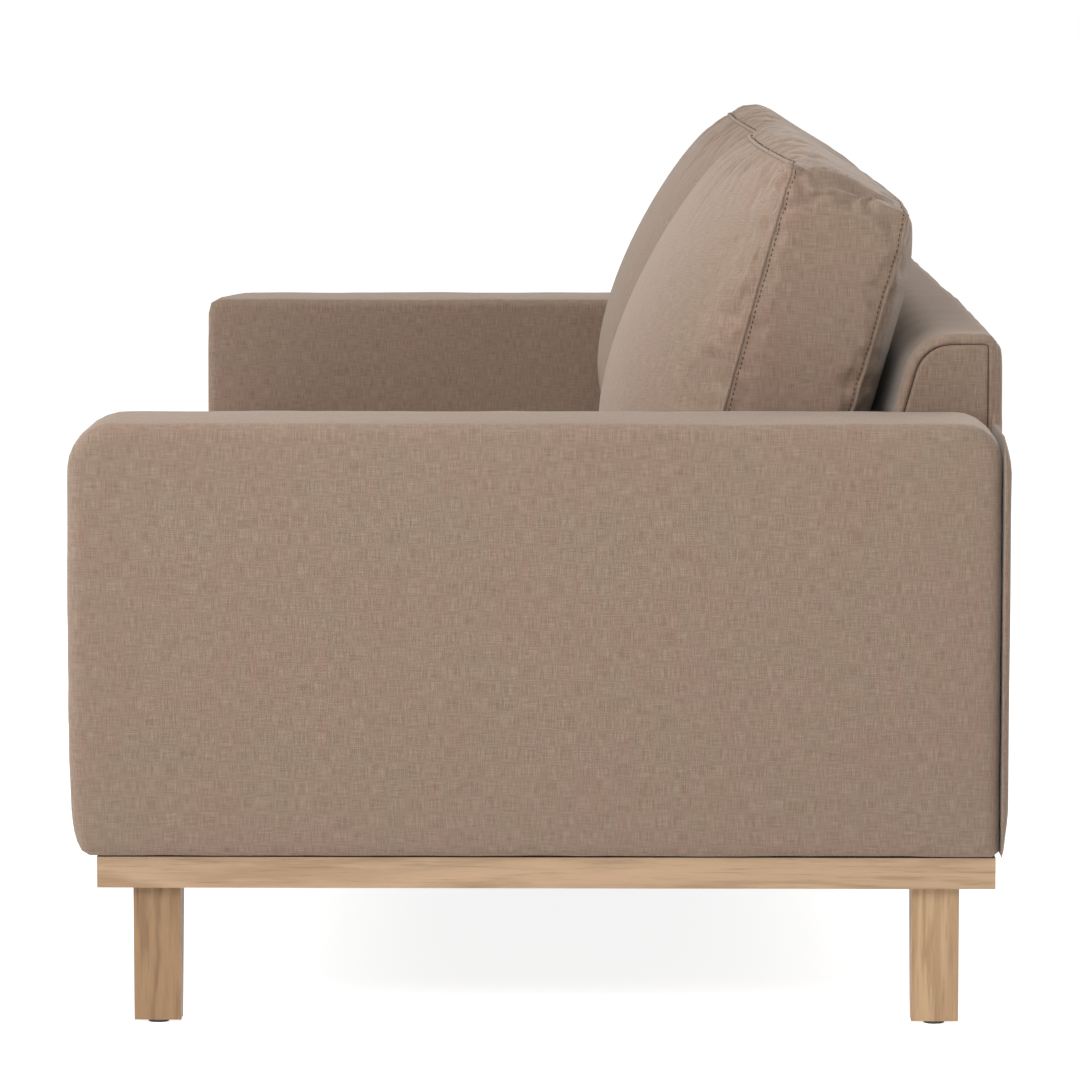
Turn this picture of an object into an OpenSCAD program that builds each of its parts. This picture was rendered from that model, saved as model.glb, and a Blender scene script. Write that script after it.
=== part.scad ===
// Two-seat upholstered sofa on a low wooden base frame with four tapered wooden legs.
// X is the width, Y the depth with the front at -Y, Z is up.
// The origin is on the floor, under the middle of the sofa.

/* [Overall] */
// Width over both arms
overall_w = 1980; // [1500:10:2600]
// Depth from the arm fronts to the rear panel
overall_d = 900; // [800:10:1100]
// Height of the arms above the floor
arm_h = 580; // [520:5:700]
// Height of the upholstered backrest above the floor
backrest_h = 652; // [600:2:900]
// Height of the seat cushions' front edge above the floor
seat_h = 425; // [400:5:480]

/* [Legs and base frame] */
// Height of the wooden legs
leg_h = 130; // [60:5:200]
// Depth of a leg, front to back
leg_d = 45; // [30:1:56]
// Width of a leg at its top
leg_top_w = 50; // [40:1:56]
// Width of a leg at its foot
leg_foot_w = 24; // [20:1:40]
// Distance from the leg's outer face to the base rail's outer face
leg_set_in = 8; // [0:1:10]
// Distance from the leg to the end of the base frame
leg_from_end = 34; // [20:1:80]
// Thickness of the felt glide under a leg
glide_t = 3; // [1:0.5:6]
// Radius of the felt glide
glide_r = 10; // [6:1:10]
// Height of the base rails
base_h = 30; // [24:1:60]
// Width of the base rails
base_rail_w = 60; // [56:1:90]
// Distance from the arm's outer face to the base frame
base_side_inset = 12; // [5:1:20]
// Distance from the arm fronts to the base frame
base_front_inset = 27; // [20:1:30]
// Distance from the rear panel to the base frame
base_rear_inset = 14; // [11:1:16]

/* [Arms] */
// Thickness of an arm
arm_t = 160; // [120:5:260]
// Rounding of the arm's top corners seen from the side
arm_corner_r = 32; // [22:1:60]
// Rounding of the arm's top edges seen from the front
arm_edge_r = 14; // [4:1:30]

/* [Backrest] */
// Thickness of the backrest at the height of the arms
backrest_t = 105; // [100:1:120]
// Lean of the backrest's front face, in degrees
backrest_lean = 15.5; // [10:0.5:16]
// Rounding of the backrest's top front edge
backrest_front_r = 45; // [30:1:55]
// Rounding of the backrest's top rear edge
backrest_rear_r = 12; // [4:1:20]
// Thickness of the padded rear panel
rear_panel_t = 10; // [4:1:12]

/* [Cushions] */
// Thickness of a seat cushion
seat_cushion_t = 150; // [100:5:160]
// Distance from the arm fronts to the seat cushions' front
seat_set_back = 10; // [0:1:14]
// Slope of the seat down to the rear, in degrees
seat_rake = 3; // [1:0.5:5]
// Rounding of the seat cushions' edges
seat_cushion_r = 22; // [6:1:40]
// Height of a back cushion along its lean
back_cushion_h = 475; // [400:5:600]
// Width of the band of fabric round a back cushion's edge
back_cushion_band = 110; // [60:2:124]
// Crown of a back cushion's front
back_cushion_crown = 105; // [40:5:130]
// Swell of a back cushion's rear
back_cushion_rear_crown = 18; // [6:1:20]
// Lean of the back cushions, in degrees
cushion_lean = 17.5; // [16:0.5:20]
// Distance from the seat cushions' front to the back cushions' front seam, on the seat
back_cushion_from_front = 573; // [540:1:580]
// Gap between two cushions, and between a cushion and an arm
cushion_gap = 4; // [2:0.5:10]
// Gap between a seat cushion's lower rear edge and the backrest
seat_rear_gap = 6; // [2:1:20]

/* [Layers and frames] */
// Thickness of the upholstery fabric with its lining
cover_t = 2; // [1:0.5:4]
// Thickness of the foam over the arm and backrest frames
foam_t = 18; // [10:1:30]
// Distance from the seat cushions' front to the padded front rail
apron_inset = 4; // [0:1:10]
// Thickness of the front rail's padding
apron_pad_t = 12; // [6:1:20]
// Clearance between one layer and the next
layer_gap = 0.3; // [0.1:0.1:1]
// Thickness of the seat frame's boards
board_t = 25; // [18:1:35]
// Thickness of the hardboard on the arm frames
panel_t = 4; // [3:0.5:8]
// Depth of the arm posts, front to back
arm_post_d = 60; // [50:1:90]
// Height of the arm's top rail
arm_rail_h = 30; // [20:1:60]
// Depth of the backrest's posts and rails
back_frame_d = 34; // [20:1:38]
// Width of the backrest's posts
back_post_w = 45; // [30:1:80]
// Height of the backrest's rails
back_rail_h = 50; // [30:1:90]

/* [Springs and deck] */
// Thickness of the felted deck that the seat cushions lie on
deck_t = 15; // [8:1:25]
// Gap between the deck's rear edge and the backrest
deck_rear_gap = 8; // [2:1:20]
// Number of springs under each seat
springs_per_seat = 4; // [2:1:6]
// Wire thickness of the springs
wire_t = 4; // [3:0.5:6]
// Width of a spring over its bends
spring_w = 60; // [60:1:90]
// Distance between two neighbouring bends of a spring
spring_pitch = 44; // [36:1:44]
// Thickness of a spring clip's base
clip_t = 1.5; // [1:0.5:3]
// Number of webbing bands in the backrest
bands = 9; // [6:1:14]
// Width of a webbing band
band_w = 60; // [40:5:80]
// Thickness of the webbing
band_t = 1.5; // [1:0.5:3]
// Thickness of the dust cover under the seat
dust_cover_t = 1; // [0.5:0.5:2]

/* [Fasteners] */
// Radius of the leg bolts and arm bolts
bolt_r = 4; // [3:0.5:6]
// Radius of the base bolts
base_bolt_r = 3; // [2:0.5:4]
// Radial clearance of a bolt or dowel in its hole
hole_gap = 0.15; // [0.05:0.05:0.5]
// Radius of the dowels in the base frame
dowel_r = 5; // [3:0.5:6]
// Length of the dowels
dowel_l = 60; // [40:5:80]
// Length of a bolt's grip in the leg or the arm post
bolt_grip = 40; // [30:1:55]
// Length of a base bolt's grip in the wood above the base frame
base_bolt_grip = 20; // [15:1:30]
// Distance from an arm bolt to its post's inner face
arm_bolt_inset = 11; // [8:1:20]

/* [Zips] */
// Length of the zip in a cushion cover
zip_l = 600; // [300:10:640]
// Width of the zip's tape
tape_w = 24; // [16:1:30]
// Width of the zip's chain of teeth
chain_w = 6; // [3:0.5:8]
// Height of the chain above the tape
chain_h = 1; // [0.5:0.1:2]
// Length of the zip's slider along the chain
slider_l = 12; // [8:1:20]
// Height of a back cushion's zip above its lower edge
back_zip_h = 90; // [80:1:200]

/* [Hidden] */
$fn = 64;

fabric_colour = [0.62, 0.53, 0.46];
wood_colour = [0.74, 0.60, 0.46];
pine_colour = [0.85, 0.74, 0.56];
foam_colour = [0.93, 0.90, 0.80];
steel_colour = [0.66, 0.67, 0.69];
board_colour = [0.52, 0.38, 0.25];
felt_colour = [0.35, 0.33, 0.31];

// Allowance by which a cutting shape passes the face that it cuts
past = 1;

// Levels
leg_top = glide_t + leg_h;
base_top = leg_top + base_h;
deck_front_z = seat_h - seat_cushion_t;

// Front and rear faces
front_y = -overall_d / 2;
rear_y = overall_d / 2;
body_rear_y = rear_y - rear_panel_t - layer_gap;
seat_front_y = front_y + seat_set_back;
apron_y = seat_front_y + apron_inset;
apron_t = cover_t + apron_pad_t;
board_front_y = apron_y + apron_t + layer_gap;

// Bolts: the radius of a head over its bolt's, its height, and its space in a counterbore
head_ratio = 1.6;
head_h = 5;
head_gap = 1;
head_recess = 2;

// Base frame
base_x = overall_w / 2 - base_side_inset;
base_front_y = front_y + base_front_inset;
base_rear_y = rear_y - base_rear_inset;
leg_front_mid_y = base_front_y + leg_from_end + leg_d / 2;
leg_rear_mid_y = base_rear_y - leg_from_end - leg_d / 2;
leg_bolt_x = base_x - leg_set_in - leg_top_w / 2;
nut_r = 2 * bolt_r;
nut_h = 6;
nut_gap = 2;
nut_cover = 3;
nut_pocket_r = nut_r + nut_gap;
nut_pocket_h = nut_h + nut_cover;
base_bolt_l = base_h + base_bolt_grip;
base_head_r = base_bolt_r * head_ratio;
dust_cover_gap = 2;

// Arms
arm_in_x = overall_w / 2 - arm_t;
frame_inset = cover_t + foam_t + 2 * layer_gap;
// The arm's frame ends where the rounding of its top starts
arm_frame_top = arm_h - max(arm_corner_r, arm_edge_r, frame_inset + past);
arm_frame_front_y = front_y + frame_inset;
arm_frame_rear_y = body_rear_y - frame_inset;
arm_post_in_x = arm_in_x + frame_inset + panel_t;
arm_post_out_x = overall_w / 2 - frame_inset - panel_t;
arm_bolt_y = [
    arm_frame_front_y + arm_post_d - arm_bolt_inset,
    arm_frame_rear_y - arm_post_d + arm_bolt_inset
];
// The arm bolts pass just above the ends of the base bolts
arm_bolt_z = base_top + base_bolt_grip + bolt_r + 2 * past;
arm_bolt_l = board_t + layer_gap + frame_inset + panel_t + bolt_grip;
head_r = bolt_r * head_ratio;
// Distance from the base bolts in the arm posts to the posts' outer faces
post_bolt_inset = 22;

// Seat frame and deck, with the deck sloping down to the rear
frame_x = arm_in_x - layer_gap;
function deck_z(y) = deck_front_z - (y - seat_front_y) * tan(seat_rake);
spring_stack = deck_t + wire_t + clip_t;
function board_top(y) = deck_z(y) - spring_stack / cos(seat_rake);
function on_slope(y) = (y - seat_front_y) / cos(seat_rake);
// The line of the backrest's front face
function back_y(z) = rear_y - backrest_t + (z - arm_h) * tan(backrest_lean);
// Where the deck's surface would meet the backrest's front face
meet_y = (rear_y - backrest_t + (deck_z(0) - arm_h) * tan(backrest_lean))
    / (1 + tan(seat_rake) * tan(backrest_lean));
deck_rear_y = meet_y - deck_rear_gap;
back_z = board_top(deck_rear_y);

// Springs
spring_margin = 5;
spring_l = on_slope(deck_rear_y) - on_slope(board_front_y);
spring_turns = floor((spring_l - 2 * spring_margin) / spring_pitch / 2) * 2;
spring_start = on_slope(board_front_y) + (spring_l - spring_turns * spring_pitch) / 2;
spring_field = frame_x - 3 * board_t;
bend_r = spring_pitch / 2;
bend_steps = 5;
spring_run = spring_w - 2 * bend_r - wire_t;
clip_lip = 3;

// Backrest frame
back_frame_top = backrest_h - backrest_front_r - cover_t;
band_y = frame_inset / cos(backrest_lean);
back_frame_y = band_y + band_t + layer_gap;
band_end = 5;
rear_panel_drop = 3;
corner_steps = 10;

// Cushions
cushion_w = (2 * arm_in_x - 3 * cushion_gap) / 2;
cushion_x = (cushion_w + cushion_gap) / 2;
rest_gap = 0.5;
seat_cushion_d = on_slope(meet_y - seat_rear_gap);
crown_r = (pow(back_cushion_h / 2, 2) + pow(back_cushion_crown, 2)) / (2 * back_cushion_crown);
crown_steps = 24;
// Angle between the seat and the square of a back cushion
seat_angle = cushion_lean - seat_rake;
back_cushion_rear = back_cushion_band + back_cushion_rear_crown;
// Bare tape at each end of a zip's chain
zip_end = 5;
slider_gap = 0.3;
slider_cheek = 3;
slider_w = chain_w + 2 * slider_cheek;
slider_h = 4;
tab_l = 20;
tab_w = 6;
tab_t = 1.5;

// ---------- shared shapes ----------

// A box given by its two corners
module block(low, high) {
    translate(low) cube(high - low);
}

// Points along an arc in even steps
function arc(centre, r, from, to, steps) = [
    for (i = [0 : steps])
        let (a = from + (to - from) * i / steps) centre + r * [cos(a), sin(a)]
];

// A flat outline in Y and Z, made solid from x0 to x1
module along_x(x0, x1) {
    translate([x0, 0, 0]) rotate([90, 0, 90]) linear_extrude(x1 - x0) children();
}

// A flat outline in X and Z, made solid from y0 to y1
module along_y(y0, y1) {
    translate([0, y1, 0]) rotate([90, 0, 0]) linear_extrude(y1 - y0) children();
}

// An upright rectangle from low to high with round top corners
module round_top(low, high, r) {
    w = high[0] - low[0];
    h = high[1] - low[1];
    translate(low) {
        square([w, h - r]);
        translate([r, 0]) square([w - 2 * r, h]);
        translate([r, h - r]) circle(r);
        translate([w - r, h - r]) circle(r);
    }
}

// The same with its corners in even steps, so that every face of its solid is flat
module stepped_top(low, high, r, steps) {
    polygon(concat(
        [low, [high[0], low[1]]],
        arc(high - [r, r], r, 0, 90, steps),
        arc([low[0] + r, high[1] - r], r, 90, 180, steps)
    ));
}

// A rectangle from low to high with four round corners
module round_rect(low, high, r) {
    w = high[0] - low[0];
    h = high[1] - low[1];
    translate(low) {
        translate([0, r]) square([w, h - 2 * r]);
        translate([r, 0]) square([w - 2 * r, h]);
        for (x = [r, w - r], y = [r, h - r]) translate([x, y]) circle(r);
    }
}

// A round bar along X, centred on the origin
module bar_x(r, l) {
    rotate([0, 90, 0]) cylinder(r = r, h = l, center = true);
}

// The frame of the seat: Y runs back along the slope from the cushions' front, Z is square to it
module on_seat() {
    translate([0, seat_front_y, deck_front_z]) rotate([-seat_rake, 0, 0]) children();
}

// The frame of a back cushion: Z runs up along its lean from its lower front seam
module on_back() {
    on_seat() translate([0, back_cushion_from_front, seat_cushion_t + rest_gap])
        rotate([-seat_angle, 0, 0]) children();
}

// ---------- legs and base frame ----------

// Places a part once at each leg bolt; side is -1 on the left and 1 on the right
module at_leg(side, y) {
    translate([side * leg_bolt_x, y, 0]) children();
}

module leg(side, y) {
    half = leg_top_w / 2;
    color(wood_colour) difference() {
        at_leg(side, y) along_y(-leg_d / 2, leg_d / 2) polygon([
            [side * half, leg_top], [side * half, glide_t],
            [side * (half - leg_foot_w), glide_t], [-side * half, leg_top]
        ]);
        at_leg(side, y) translate([0, 0, leg_top - bolt_grip])
            cylinder(r = bolt_r + hole_gap, h = bolt_grip + past);
    }
}

module leg_front_left() leg(-1, leg_front_mid_y);
module leg_front_right() leg(1, leg_front_mid_y);
module leg_rear_left() leg(-1, leg_rear_mid_y);
module leg_rear_right() leg(1, leg_rear_mid_y);

module leg_glides() {
    foot = (leg_top_w - leg_foot_w) / 2;
    color(felt_colour) for (side = [-1, 1], y = [leg_front_mid_y, leg_rear_mid_y])
        at_leg(side, y) translate([side * foot, 0, 0]) cylinder(r = glide_r, h = glide_t);
}

module leg_bolts() {
    color(steel_colour) for (side = [-1, 1], y = [leg_front_mid_y, leg_rear_mid_y]) at_leg(side, y) {
        translate([0, 0, leg_top - bolt_grip + past])
            cylinder(r = bolt_r, h = bolt_grip + base_h - 2 * past);
        translate([0, 0, base_top - nut_pocket_h]) difference() {
            cylinder(r = nut_r, h = nut_h);
            translate([0, 0, -past]) cylinder(r = bolt_r + hole_gap, h = nut_h + 2 * past);
        }
    }
}

// The places of the base bolts: into the seat frame's boards and the arm posts
module at_base_bolts() {
    for (side = [-1, 1], y = [board_front_y + board_t / 2, body_rear_y - board_t / 2])
        translate([side * frame_x / 2, y, 0]) children();
    for (side = [-1, 1], y = [base_front_y + base_rail_w / 2, base_rear_y - base_rail_w / 2])
        translate([side * (arm_post_out_x - post_bolt_inset), y, 0]) children();
}

module base_bolt_holes() {
    at_base_bolts() {
        translate([0, 0, leg_top - past])
            cylinder(r = base_bolt_r + hole_gap, h = base_bolt_l + past);
        translate([0, 0, leg_top - past])
            cylinder(r = base_head_r + head_gap, h = head_h + head_recess + past);
    }
}

module base_bolts() {
    color(steel_colour) at_base_bolts() translate([0, 0, leg_top + head_recess]) {
        cylinder(r = base_head_r, h = head_h);
        cylinder(r = base_bolt_r, h = base_bolt_l - head_recess - past);
    }
}

// The places of the dowels: two at each end of the front and rear rails
module at_dowels() {
    for (side = [-1, 1], y = [base_front_y, base_rear_y - base_rail_w], part = [0.25, 0.75])
        translate([side * (base_x - base_rail_w), y + part * base_rail_w, leg_top + base_h / 2])
            children();
}

module base_dowels() {
    color(pine_colour) at_dowels() bar_x(dowel_r, dowel_l);
}

module base_side_rail(side) {
    color(wood_colour) difference() {
        scale([side, 1, 1])
            block([base_x - base_rail_w, base_front_y, leg_top], [base_x, base_rear_y, base_top]);
        at_dowels() bar_x(dowel_r + hole_gap, dowel_l + past);
        base_bolt_holes();
        for (y = [leg_front_mid_y, leg_rear_mid_y]) at_leg(side, y) {
            translate([0, 0, leg_top - past]) cylinder(r = bolt_r + hole_gap, h = base_h);
            translate([0, 0, base_top - nut_pocket_h]) cylinder(r = nut_pocket_r, h = nut_pocket_h + past);
        }
    }
}

module base_cross(y) {
    x = base_x - base_rail_w;
    color(wood_colour) difference() {
        block([-x, y, leg_top], [x, y + base_rail_w, base_top]);
        at_dowels() bar_x(dowel_r + hole_gap, dowel_l + past);
        base_bolt_holes();
    }
}

module base_rail_left() base_side_rail(-1);
module base_rail_right() base_side_rail(1);
module base_rail_front() base_cross(base_front_y);
module base_rail_rear() base_cross(base_rear_y - base_rail_w);

module dust_cover() {
    inset = base_rail_w + dust_cover_gap;
    color(felt_colour) block(
        [-base_x + inset, base_front_y + inset, base_top - dust_cover_t],
        [base_x - inset, base_rear_y - inset, base_top]
    );
}

// ---------- seat frame ----------

// The arm bolts run along X through the seat frame's side into an arm post
module at_arm_bolts(side) {
    for (y = arm_bolt_y) translate([side * (frame_x - board_t), y, arm_bolt_z])
        rotate([0, side * 90, 0]) children();
}

module arm_bolt_holes(side) {
    at_arm_bolts(side) translate([0, 0, -past])
        cylinder(r = bolt_r + hole_gap, h = arm_bolt_l + 2 * past);
}

module arm_bolts() {
    color(steel_colour) for (side = [-1, 1]) at_arm_bolts(side) {
        translate([0, 0, -head_h]) cylinder(r = head_r, h = head_h);
        cylinder(r = bolt_r, h = arm_bolt_l);
    }
}

// A board's outline between two depths, its top on the springs' slope
module sloped_outline(y0, y1) {
    polygon([[y0, base_top], [y1, base_top], [y1, board_top(y1)], [y0, board_top(y0)]]);
}

module seat_frame_front() {
    x = frame_x - board_t;
    color(pine_colour) difference() {
        along_x(-x, x) sloped_outline(board_front_y, board_front_y + board_t);
        base_bolt_holes();
    }
}

module spring_rail() {
    x = frame_x - board_t;
    color(pine_colour) along_x(-x, x) sloped_outline(deck_rear_y - board_t, deck_rear_y);
}

module seat_frame_centre() {
    color(pine_colour) along_x(-board_t / 2, board_t / 2)
        sloped_outline(board_front_y + board_t, deck_rear_y - board_t);
}

module seat_frame_rear() {
    x = frame_x - board_t;
    color(pine_colour) difference() {
        block([-x, body_rear_y - board_t, base_top], [x, body_rear_y, back_z - layer_gap]);
        base_bolt_holes();
    }
}

module seat_frame_side(side) {
    color(pine_colour) difference() {
        scale([side, 1, 1]) along_x(frame_x - board_t, frame_x) polygon([
            [board_front_y, base_top], [body_rear_y, base_top], [body_rear_y, back_z],
            [deck_rear_y, back_z], [board_front_y, board_top(board_front_y)]
        ]);
        arm_bolt_holes(side);
    }
}

module seat_frame_left() seat_frame_side(-1);
module seat_frame_right() seat_frame_side(1);

// ---------- springs and deck ----------

// One side of the zigzag wire: an arc round each bend, at the left or the right of its centre line
function wire_side(left) = [
    for (i = [0 : spring_turns - 1])
        let (even = i % 2 == 0, end = even ? 1 : -1, inner = (even == left))
            each arc([end * spring_run / 2, (i + 0.5) * spring_pitch],
                bend_r + (inner ? -wire_t : wire_t) / 2, even ? -90 : 270, 90, bend_steps)
];

// One flat zigzag of wire: straight runs across, joined by round bends at alternate ends
module zigzag() {
    half = wire_t / 2;
    x = -spring_run / 2;
    end_y = spring_turns * spring_pitch;
    left = concat([[x, half]], wire_side(true), [[x, end_y + half]]);
    right = concat([[x, -half]], wire_side(false), [[x, end_y - half]]);
    linear_extrude(wire_t) polygon(concat(right, [for (i = [len(left) - 1 : -1 : 0]) left[i]]));
}

// The springs' places across both seats
module at_springs() {
    step = (spring_field - board_t) / springs_per_seat;
    for (side = [-1, 1], i = [0 : springs_per_seat - 1])
        translate([side * (board_t + (i + 0.5) * step), 0, 0]) children();
}

module seat_springs() {
    color(steel_colour) on_seat() at_springs() translate([0, spring_start, -deck_t - wire_t]) zigzag();
}

module spring_clips() {
    x = spring_run / 2;
    slot = wire_t / 2 + layer_gap;
    color(steel_colour) on_seat() at_springs()
        for (y = [spring_start, spring_start + spring_turns * spring_pitch])
            translate([0, y, -spring_stack]) difference() {
                block([-x, -slot - clip_lip, 0], [x, slot + clip_lip, clip_t + wire_t]);
                block([-x - past, -slot, clip_t], [x + past, slot, clip_t + wire_t + past]);
            }
}

module seat_deck() {
    front = on_slope(board_front_y) + deck_t * tan(seat_rake);
    color(felt_colour) on_seat()
        block([-frame_x, front, -deck_t], [frame_x, on_slope(deck_rear_y), 0]);
}

module front_rail_cover() {
    color(fabric_colour) along_x(-frame_x, frame_x) polygon([
        [apron_y, base_top], [apron_y + apron_t, base_top],
        [apron_y + apron_t, deck_z(apron_y + apron_t)], [apron_y, deck_z(apron_y)]
    ]);
}

// ---------- arms ----------

// The arm's outer form, taken in by g on every face but its open underside
module arm_form(g, drop = 0) {
    corner = max(arm_corner_r - g, past);
    edge = max(arm_edge_r - g, past);
    intersection() {
        along_x(arm_in_x + g, overall_w / 2 - g)
            round_top([front_y + g, base_top - drop], [body_rear_y - g, arm_h - g], corner);
        along_y(front_y, body_rear_y)
            round_top([arm_in_x + g, base_top - drop], [overall_w / 2 - g, arm_h - g], edge);
    }
}

module arm_cover(side) {
    color(fabric_colour) difference() {
        scale([side, 1, 1]) difference() {
            arm_form(0);
            arm_form(cover_t, past);
        }
        arm_bolt_holes(side);
    }
}

module arm_foam(side) {
    color(foam_colour) difference() {
        scale([side, 1, 1]) difference() {
            arm_form(cover_t + layer_gap);
            arm_form(cover_t + layer_gap + foam_t, past);
        }
        arm_bolt_holes(side);
    }
}

module arm_post(side, y) {
    color(pine_colour) difference() {
        scale([side, 1, 1]) block([arm_post_in_x, y, base_top],
            [arm_post_out_x, y + arm_post_d, arm_frame_top - arm_rail_h]);
        arm_bolt_holes(side);
        base_bolt_holes();
    }
}

module arm_top_rail(side) {
    color(pine_colour) scale([side, 1, 1]) block(
        [arm_post_in_x, arm_frame_front_y, arm_frame_top - arm_rail_h],
        [arm_post_out_x, arm_frame_rear_y, arm_frame_top]
    );
}

module arm_panels(side) {
    color(board_colour) difference() {
        scale([side, 1, 1]) for (x = [arm_post_in_x - panel_t, arm_post_out_x])
            block([x, arm_frame_front_y, base_top], [x + panel_t, arm_frame_rear_y, arm_frame_top]);
        arm_bolt_holes(side);
    }
}

module arm_left_cover() arm_cover(-1);
module arm_left_foam() arm_foam(-1);
module arm_left_front_post() arm_post(-1, arm_frame_front_y);
module arm_left_rear_post() arm_post(-1, arm_frame_rear_y - arm_post_d);
module arm_left_top_rail() arm_top_rail(-1);
module arm_left_panels() arm_panels(-1);
module arm_right_cover() arm_cover(1);
module arm_right_foam() arm_foam(1);
module arm_right_front_post() arm_post(1, arm_frame_front_y);
module arm_right_rear_post() arm_post(1, arm_frame_rear_y - arm_post_d);
module arm_right_top_rail() arm_top_rail(1);
module arm_right_panels() arm_panels(1);

// ---------- backrest ----------

// The backrest's outline, taken in by g on every face but its open underside
module back_outline(g, drop = 0) {
    r = max(backrest_front_r - g, past);
    q = max(backrest_rear_r - g, past);
    lean_g = g / cos(backrest_lean);
    top = backrest_h - g;
    rear = body_rear_y - g;
    mid = [back_y(top - r) + lean_g + r / cos(backrest_lean), top - r];
    polygon(concat(
        [[rear, back_z - drop], [back_y(back_z - drop) + lean_g, back_z - drop]],
        arc(mid, r, 180 - backrest_lean, 90, corner_steps),
        arc([rear - q, top - q], q, 90, 0, corner_steps)
    ));
}

module back_form(g, drop = 0) {
    along_x(-frame_x + g, frame_x - g) back_outline(g, drop);
}

module backrest_cover() {
    color(fabric_colour) difference() {
        back_form(0);
        back_form(cover_t, past);
    }
}

module backrest_foam() {
    color(foam_colour) difference() {
        back_form(cover_t + layer_gap);
        back_form(cover_t + layer_gap + foam_t, past);
    }
}

// A leaning strip of the backrest's frame between two heights, a given distance behind its face
module leaning_strip(z0, z1, behind, depth) {
    polygon([
        [back_y(z0) + behind, z0], [back_y(z1) + behind, z1],
        [back_y(z1) + behind + depth, z1], [back_y(z0) + behind + depth, z0]
    ]);
}

module back_post(side) {
    x = frame_x - frame_inset;
    color(pine_colour) scale([side, 1, 1]) along_x(x - back_post_w, x)
        leaning_strip(back_z, back_frame_top, back_frame_y, back_frame_d);
}

module back_rail(z) {
    x = frame_x - frame_inset - back_post_w;
    color(pine_colour) along_x(-x, x) leaning_strip(z, z + back_rail_h, back_frame_y, back_frame_d);
}

module back_post_left() back_post(-1);
module back_post_right() back_post(1);
module back_top_rail() back_rail(back_frame_top - back_rail_h);
module back_bottom_rail() back_rail(back_z);

module back_webbing() {
    field = 2 * (frame_x - frame_inset - back_post_w);
    color(felt_colour) for (i = [0 : bands - 1]) {
        x = ((i + 0.5) / bands - 0.5) * field;
        along_x(x - band_w / 2, x + band_w / 2)
            leaning_strip(back_z + band_end, back_frame_top - band_end, band_y + layer_gap / 2, band_t);
    }
}

module rear_panel() {
    color(fabric_colour) along_y(rear_y - rear_panel_t, rear_y) {
        round_top([-overall_w / 2, base_top], [overall_w / 2, arm_h - rear_panel_drop], arm_edge_r);
        round_top([-frame_x, base_top], [frame_x, backrest_h], arm_edge_r);
    }
}

// ---------- cushions ----------

// The zip's place on a flat rear face: X along the zip, Y out of the cushion, origin on the face
module zip(length) {
    color(felt_colour) {
        block([-length / 2, -cover_t, -tape_w / 2], [length / 2, 0, tape_w / 2]);
        block([-length / 2 + zip_end, 0, -chain_w / 2], [length / 2 - zip_end, chain_h, chain_w / 2]);
    }
}

module zip_slider(length) {
    start = -length / 2 + zip_end + slider_l / 2;
    top = slider_gap + slider_h;
    tab_top = slider_w / 2 - past;
    color(steel_colour) translate([start, 0, 0]) difference() {
        union() {
            block([-slider_l / 2, slider_gap, -slider_w / 2], [slider_l / 2, top, slider_w / 2]);
            block([-tab_w / 2, top, -tab_l], [tab_w / 2, top + tab_t, tab_top]);
        }
        block([-slider_l, 0, -chain_w / 2 - slider_gap],
            [slider_l, chain_h + slider_gap, chain_w / 2 + slider_gap]);
    }
}

module zip_slot(length) {
    block([-length / 2, -cover_t - past, -tape_w / 2], [length / 2, past, tape_w / 2]);
}

// A seat cushion taken in by g on every face
module seat_cushion_form(g) {
    r = max(seat_cushion_r - g, past);
    w = cushion_w / 2 - g;
    intersection() {
        along_x(-w, w) round_rect([g, rest_gap + g], [seat_cushion_d - g, seat_cushion_t - g], r);
        along_y(0, seat_cushion_d) round_rect([-w, rest_gap + g], [w, seat_cushion_t - g], r);
    }
}

module at_seat_cushion(side) {
    on_seat() translate([side * cushion_x, 0, 0]) children();
}

module at_seat_zip(side) {
    at_seat_cushion(side) translate([0, seat_cushion_d, seat_cushion_t / 2]) children();
}

module seat_cushion_cover(side) {
    color(fabric_colour) difference() {
        at_seat_cushion(side) seat_cushion_form(0);
        at_seat_cushion(side) seat_cushion_form(cover_t);
        at_seat_zip(side) zip_slot(zip_l);
    }
}

module seat_cushion_core(side) {
    color(foam_colour) at_seat_cushion(side) seat_cushion_form(cover_t + layer_gap);
}

// A back cushion's side outline taken in by g: crowned in front, flat behind, its foot level with the seat
module back_cushion_outline(g) {
    r = crown_r - g;
    half = back_cushion_h / 2;
    mid = [crown_r - back_cushion_crown, half];
    rear = back_cushion_rear - g;
    foot = asin((mid[0] * sin(seat_angle) + g - half * cos(seat_angle)) / r);
    polygon(concat(
        arc(mid, r, 180 - asin((half - g) / r), 180 - foot + seat_angle, crown_steps),
        [[rear, rear * tan(seat_angle) + g / cos(seat_angle)], [rear, back_cushion_h - g]]
    ));
}

// A back cushion taken in by g on every face
module back_cushion_form(g) {
    w = cushion_w / 2 - g;
    h = back_cushion_h - g;
    front = back_cushion_crown - g;
    rear = back_cushion_rear - g;
    low = -back_cushion_crown;
    intersection() {
        along_x(-w, w) back_cushion_outline(g);
        translate([0, 0, low]) linear_extrude(h - low) mirror([0, 1])
            stepped_top([-w, -rear], [w, front], front, corner_steps);
        along_y(-front - past, rear + past)
            stepped_top([-w, low], [w, h], back_cushion_crown / 2 - g, corner_steps);
    }
}

module at_back_cushion(side) {
    on_back() translate([side * cushion_x, 0, 0]) children();
}

module at_back_zip(side) {
    at_back_cushion(side) translate([0, back_cushion_rear, back_zip_h]) children();
}

module back_cushion_cover(side) {
    color(fabric_colour) difference() {
        at_back_cushion(side) back_cushion_form(0);
        at_back_cushion(side) back_cushion_form(cover_t);
        at_back_zip(side) zip_slot(zip_l);
    }
}

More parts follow.
